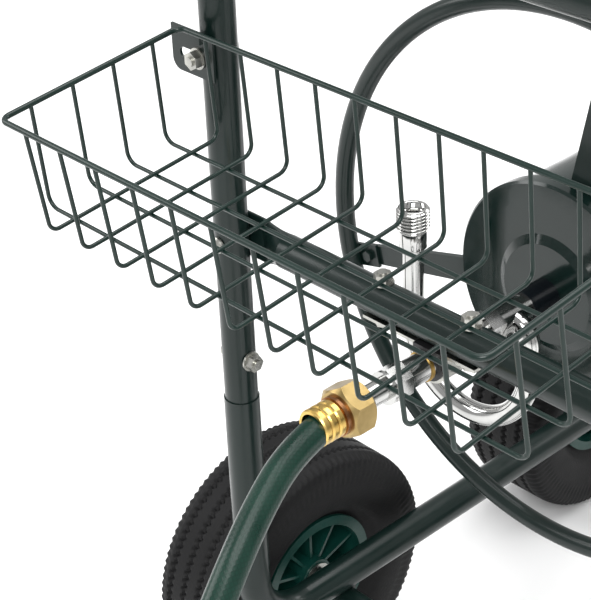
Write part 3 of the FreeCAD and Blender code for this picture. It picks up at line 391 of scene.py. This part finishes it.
# ------------------------------------------------------------------ wheels
WHEELS = ("front_left", "front_right", "rear_left", "rear_right")
SEAT_DEPTH = 0.006            # how far the tyre's seat lies below the rim's edge
TREAD_PERIODS, TREAD_STEPS, SECTION_POINTS = 104, 4, 200
GROOVES = (-0.028, -0.0095, 0.0095, 0.028)
GROOVE_HALF, GROOVE_DEPTH, ZIGZAG = 0.0021, 0.0038, 0.0021
NOTCH_DEPTH, BEAD_HALF = 0.0026, 0.033
SHOULDER_IN, SHOULDER_HALF = 0.006, 0.008     # where the notches lie, from the tyre's side
RIB_DROP, RIB_HALF, RIB_RISE = 0.021, 0.007, 0.0008
CORNER_CUTS = 4


def tyre_section(seat, crown, half):
    """One tyre section from bead to bead as (radius, width), a rounded version of a
    few corner points: each corner is cut again and again at a quarter of its edges.
    Points stand four times closer on the tread than on the side walls."""
    side = np.array([(seat, BEAD_HALF), (seat + 0.009, BEAD_HALF), (seat + 0.018, half - 0.004),
                     (crown - 0.036, half), (crown - 0.012, half - 0.001), (crown, half - SHOULDER_IN),
                     (crown, 0.012)])
    corners = np.concatenate([side * (1, -1), side[::-1]])
    for _ in range(CORNER_CUTS):
        a, b = corners[:-1], corners[1:]
        cut = np.stack([a * 0.75 + b * 0.25, a * 0.25 + b * 0.75], 1).reshape(-1, 2)
        corners = np.concatenate([corners[:1], cut, corners[-1:]])
    weight = 1 + 3 * (corners[1:, 0] > crown - 0.009)
    step = np.linalg.norm(np.diff(corners, axis=0), axis=1) * weight
    along = np.concatenate([[0], np.cumsum(step)])
    share = np.linspace(0, along[-1], SECTION_POINTS)
    return np.interp(share, along, corners[:, 0]), np.interp(share, along, corners[:, 1])


def tyre_points(seat, crown, half):
    """The section swept round the axle. On the tread the radius drops in narrow grooves
    whose places zigzag round the wheel; each zigzag notches the shoulder's edge, and
    short radial ribs stand on the upper side walls."""
    radius, width = (v[None, :] for v in tyre_section(seat, crown, half))
    turn = np.linspace(0, 2 * np.pi, TREAD_PERIODS * TREAD_STEPS, endpoint=False)[:, None]
    phase = (turn * TREAD_PERIODS / (2 * np.pi)) % 1.0
    wave = np.abs(phase - 0.5) * 4 - 1
    groove = np.zeros(np.broadcast_shapes(width.shape, turn.shape))
    for place in GROOVES:
        groove = np.maximum(groove, 1 - (np.abs(width - place - wave * ZIGZAG) / GROOVE_HALF) ** 3)
    on_tread = np.clip((radius - crown + 0.007) / 0.003, 0, 1)
    from_edge = np.abs(np.abs(width) - (half - SHOULDER_IN))
    edge = np.clip(1 - from_edge / SHOULDER_HALF, 0, 1) ** 0.5
    notch = edge * np.clip((radius - crown + 0.014) / 0.006, 0, 1) * (0.5 - 0.5 * wave)
    band = np.clip(1 - np.abs(radius - (crown - RIB_DROP)) / RIB_HALF, 0, 1) ** 0.4
    rib = band * (0.5 - 0.5 * wave) * RIB_RISE
    radius = radius - GROOVE_DEPTH * np.clip(groove, 0, 1) * on_tread - NOTCH_DEPTH * notch
    width = width - np.sign(width) * rib * (np.abs(width) > half * 0.8)
    radius, width = np.broadcast_arrays(radius, width)
    return np.stack([width, radius * np.cos(turn), radius * np.sin(turn)], -1)


def make_tyre(name):
    node = "tyre_" + name
    low, high = (np.array(corner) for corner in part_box(node))
    rim_low, rim_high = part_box("rim_" + name)
    seat = (rim_high[2] - rim_low[2]) / 2 - SEAT_DEPTH
    points = tyre_points(seat, (high[2] - low[2]) / 2, (high[0] - low[0]) / 2)
    mesh = grid_mesh(node + "_tread", points + (low + high) / 2, wrap_rows=True, wrap_columns=True)
    mesh.flip_normals()
    return add_piece(node + "_tread", mesh, "wheel_" + name, "tyre", RUBBER, node)


for wheel in WHEELS:
    make_tyre(wheel)


# ------------------------------------------------------------------ outlet thread
THREAD_R, THREAD_BORE, THREAD_PITCH, THREAD_DEPTH = 0.0134, 0.009, 0.0029, 0.0016
THREAD_ROWS, THREAD_SIDES, NECK_SIDES = 260, 96, 72
NECK_R, NECK_H, NECK_BORE = 0.011, 0.016, 0.0086


def thread_points(base, top, centre):
    """Hollow threaded tube: the outer radius falls by a rounded triangle wave of
    height / pitch - turn, faded out at both ends; the inside is plain."""
    turn = np.linspace(0, 2 * np.pi, THREAD_SIDES, endpoint=False)[None, :]
    height = np.linspace(base, top, THREAD_ROWS)[:, None]
    wave = np.abs(((height / THREAD_PITCH - turn / (2 * np.pi)) % 1.0) - 0.5) * 2
    ridge = wave * wave * (3 - 2 * wave)
    fade = np.clip(np.minimum(height - base, top - height) / (THREAD_PITCH * 0.6), 0, 1)
    outer = THREAD_R - THREAD_DEPTH * (1 - ridge * fade)
    outer, height = np.broadcast_arrays(outer, height)
    shell = np.stack([outer * np.cos(turn), outer * np.sin(turn), height], -1)
    inner = np.stack([np.cos(turn) * THREAD_BORE, np.sin(turn) * THREAD_BORE, turn * 0], -1)
    mouth, foot = inner.copy(), inner.copy()
    mouth[..., 2], foot[..., 2] = top, base
    return np.concatenate([foot, shell, mouth], 0) + np.array([centre[0], centre[1], 0])


def neck_points(profile, centre):
    """A lathe profile of (radius, height) pairs turned round an upright axis."""
    turn = np.linspace(0, 2 * np.pi, NECK_SIDES, endpoint=False)[None, :]
    radius, height = (np.array(profile)[:, k][:, None] for k in (0, 1))
    radius, height = np.broadcast_arrays(radius, height + turn * 0)
    points = np.stack([radius * np.cos(turn), radius * np.sin(turn), height], -1)
    return points + np.array([centre[0], centre[1], 0])


def make_outlet():
    low, high = (np.array(corner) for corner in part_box("outlet_nipple"))
    centre = (low + high) / 2
    foot, top = low[2], low[2] + NECK_H
    mesh = grid_mesh("outlet_thread", thread_points(top - 0.0005, high[2], centre),
                     wrap_rows=True, wrap_columns=True)
    add_piece("outlet_thread", mesh, "reel", "chrome", CHROME, "outlet_nipple")
    profile = [(NECK_BORE, foot), (NECK_R - 0.001, foot), (NECK_R, foot + 0.001),
               (NECK_R, top - 0.003), (NECK_R - 0.0006, top), (0.0088, top)]
    mesh = grid_mesh("outlet_neck", neck_points(profile, centre), wrap_rows=True,
                     wrap_columns=True)
    bevel_edges(add_piece("outlet_neck", mesh, "reel", "chrome", CHROME), 0.0003)


def bevel_edges(piece, width):
    """Small rounded edges on a piece."""
    bevel = piece.modifiers.new("bevel", "BEVEL")
    bevel.width, bevel.segments, bevel.limit_method = width, 2, "ANGLE"


make_outlet()


# ------------------------------------------------------------------ floor and light
FLOOR_HALF = 14.0


def make_stage():
    mesh = bpy.data.meshes.new("floor")
    corners = [(x * FLOOR_HALF, y * FLOOR_HALF, 0) for x, y in ((-1, -1), (1, -1), (1, 1), (-1, 1))]
    mesh.from_pydata(corners, [], [(0, 1, 2, 3)])
    floor = bpy.data.objects.new("floor", mesh)
    bpy.context.collection.objects.link(floor)
    f = Finish("pale_floor", Specular_IOR_Level=0.15)
    mesh.materials.append(f.feed(
        Base_Color=f.between(f.noise(3, 2), rgb(250, 250, 250), rgb(253, 253, 253)),
        Roughness=f.noise(5, 2) * 0.1 + 0.75))


def make_light(name, place, size, power):
    """Soft rectangular light that faces the middle of the cart."""
    data = bpy.data.lights.new(name, "AREA")
    data.shape, data.size, data.size_y, data.energy = "RECTANGLE", size[0], size[1], power
    light = bpy.data.objects.new(name, data)
    bpy.context.collection.objects.link(light)
    direction = LIT_POINT - Vector(place)
    turn = direction.to_track_quat("-Z", "Y").to_matrix().to_4x4()
    light.matrix_world = Matrix.Translation(place) @ turn


LIT_POINT = Vector((0, -0.1, 0.5))
WORLD_STRENGTH = 0.6
LIGHTS = (
    ("key", (1.8, -2.2, 3.0), (1.6, 1.6), 95),
    ("fill", (-2.8, -1.6, 2.2), (1.8, 1.8), 40),
    ("top", (0.0, 0.5, 3.6), (2.6, 2.6), 90),
    ("rear", (0.8, 3.2, 2.2), (2.0, 1.2), 40),
)


def make_lights():
    for light in LIGHTS:
        make_light(*light)
    world = bpy.data.worlds.new("studio")
    bpy.context.scene.world = world
    world.use_nodes = True
    background = world.node_tree.nodes["Background"]
    background.inputs["Color"].default_value = (1.0, 1.0, 1.0, 1.0)
    background.inputs["Strength"].default_value = WORLD_STRENGTH
    bpy.context.scene.view_settings.view_transform = "Standard"


make_stage()
make_lights()
